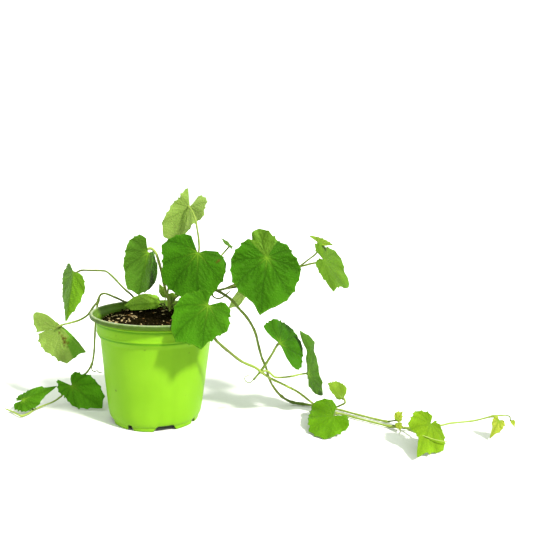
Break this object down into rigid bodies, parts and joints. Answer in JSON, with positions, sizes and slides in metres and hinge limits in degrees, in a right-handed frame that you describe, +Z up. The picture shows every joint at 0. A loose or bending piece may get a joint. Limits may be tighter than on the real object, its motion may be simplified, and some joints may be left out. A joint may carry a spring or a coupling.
{
  "type": "potted cucamelon",
  "caption": "Young cucamelon vine in a round plastic nursery pot of soil, its toothed heart-shaped leaves on long stems that arch over the rim and trail along the ground.",
  "frame": {"origin": "centre of the footprint of the whole plant, on the ground that the pot stands on", "axes": "+X along the longest trailing vine, +Y to the back, away from the viewer, +Z up along the pot's axis"},
  "size_m": [0.4546, 0.1342, 0.205],
  "materials": {
    "pot": "smooth satin lime-green polypropylene",
    "soil": "moist dark potting soil with perlite and bark",
    "stem": "fresh green, finely hairy",
    "leaf": "soft green leaf with palmate veins and a paler underside",
    "young_leaf": "young yellow-green leaf with palmate veins"
  },
  "bodies": {
    "root": {"pot": "pot", "soil": "soil", "vine_left": "stem", "vine_main": "stem", "vine_right": "stem", "leaf_crown": "leaf", "leaf_upper_left": "leaf", "leaf_center": "leaf", "leaf_front": "leaf", "leaf_right_large": "leaf", "leaf_far_right": "leaf", "leaf_far_right_upper": "young_leaf", "leaf_left_folded": "leaf", "leaf_left_low": "leaf", "leaf_left_ground": "leaf", "leaf_left_tip": "leaf", "leaf_on_soil": "leaf", "seed_leaf_left": "leaf", "seed_leaf_right": "leaf", "leaf_behind_upper": "leaf", "leaf_behind_lower": "leaf", "leaf_right_arched": "leaf", "leaf_right_upright": "leaf", "leaf_right_ground": "young_leaf", "leaf_right_small": "young_leaf", "leaf_node_upper": "young_leaf", "leaf_node_lower": "young_leaf", "leaf_vine_tip": "young_leaf", "leaf_end_small": "young_leaf", "leaf_end_bud": "young_leaf"}
  },
  "joints": []
}
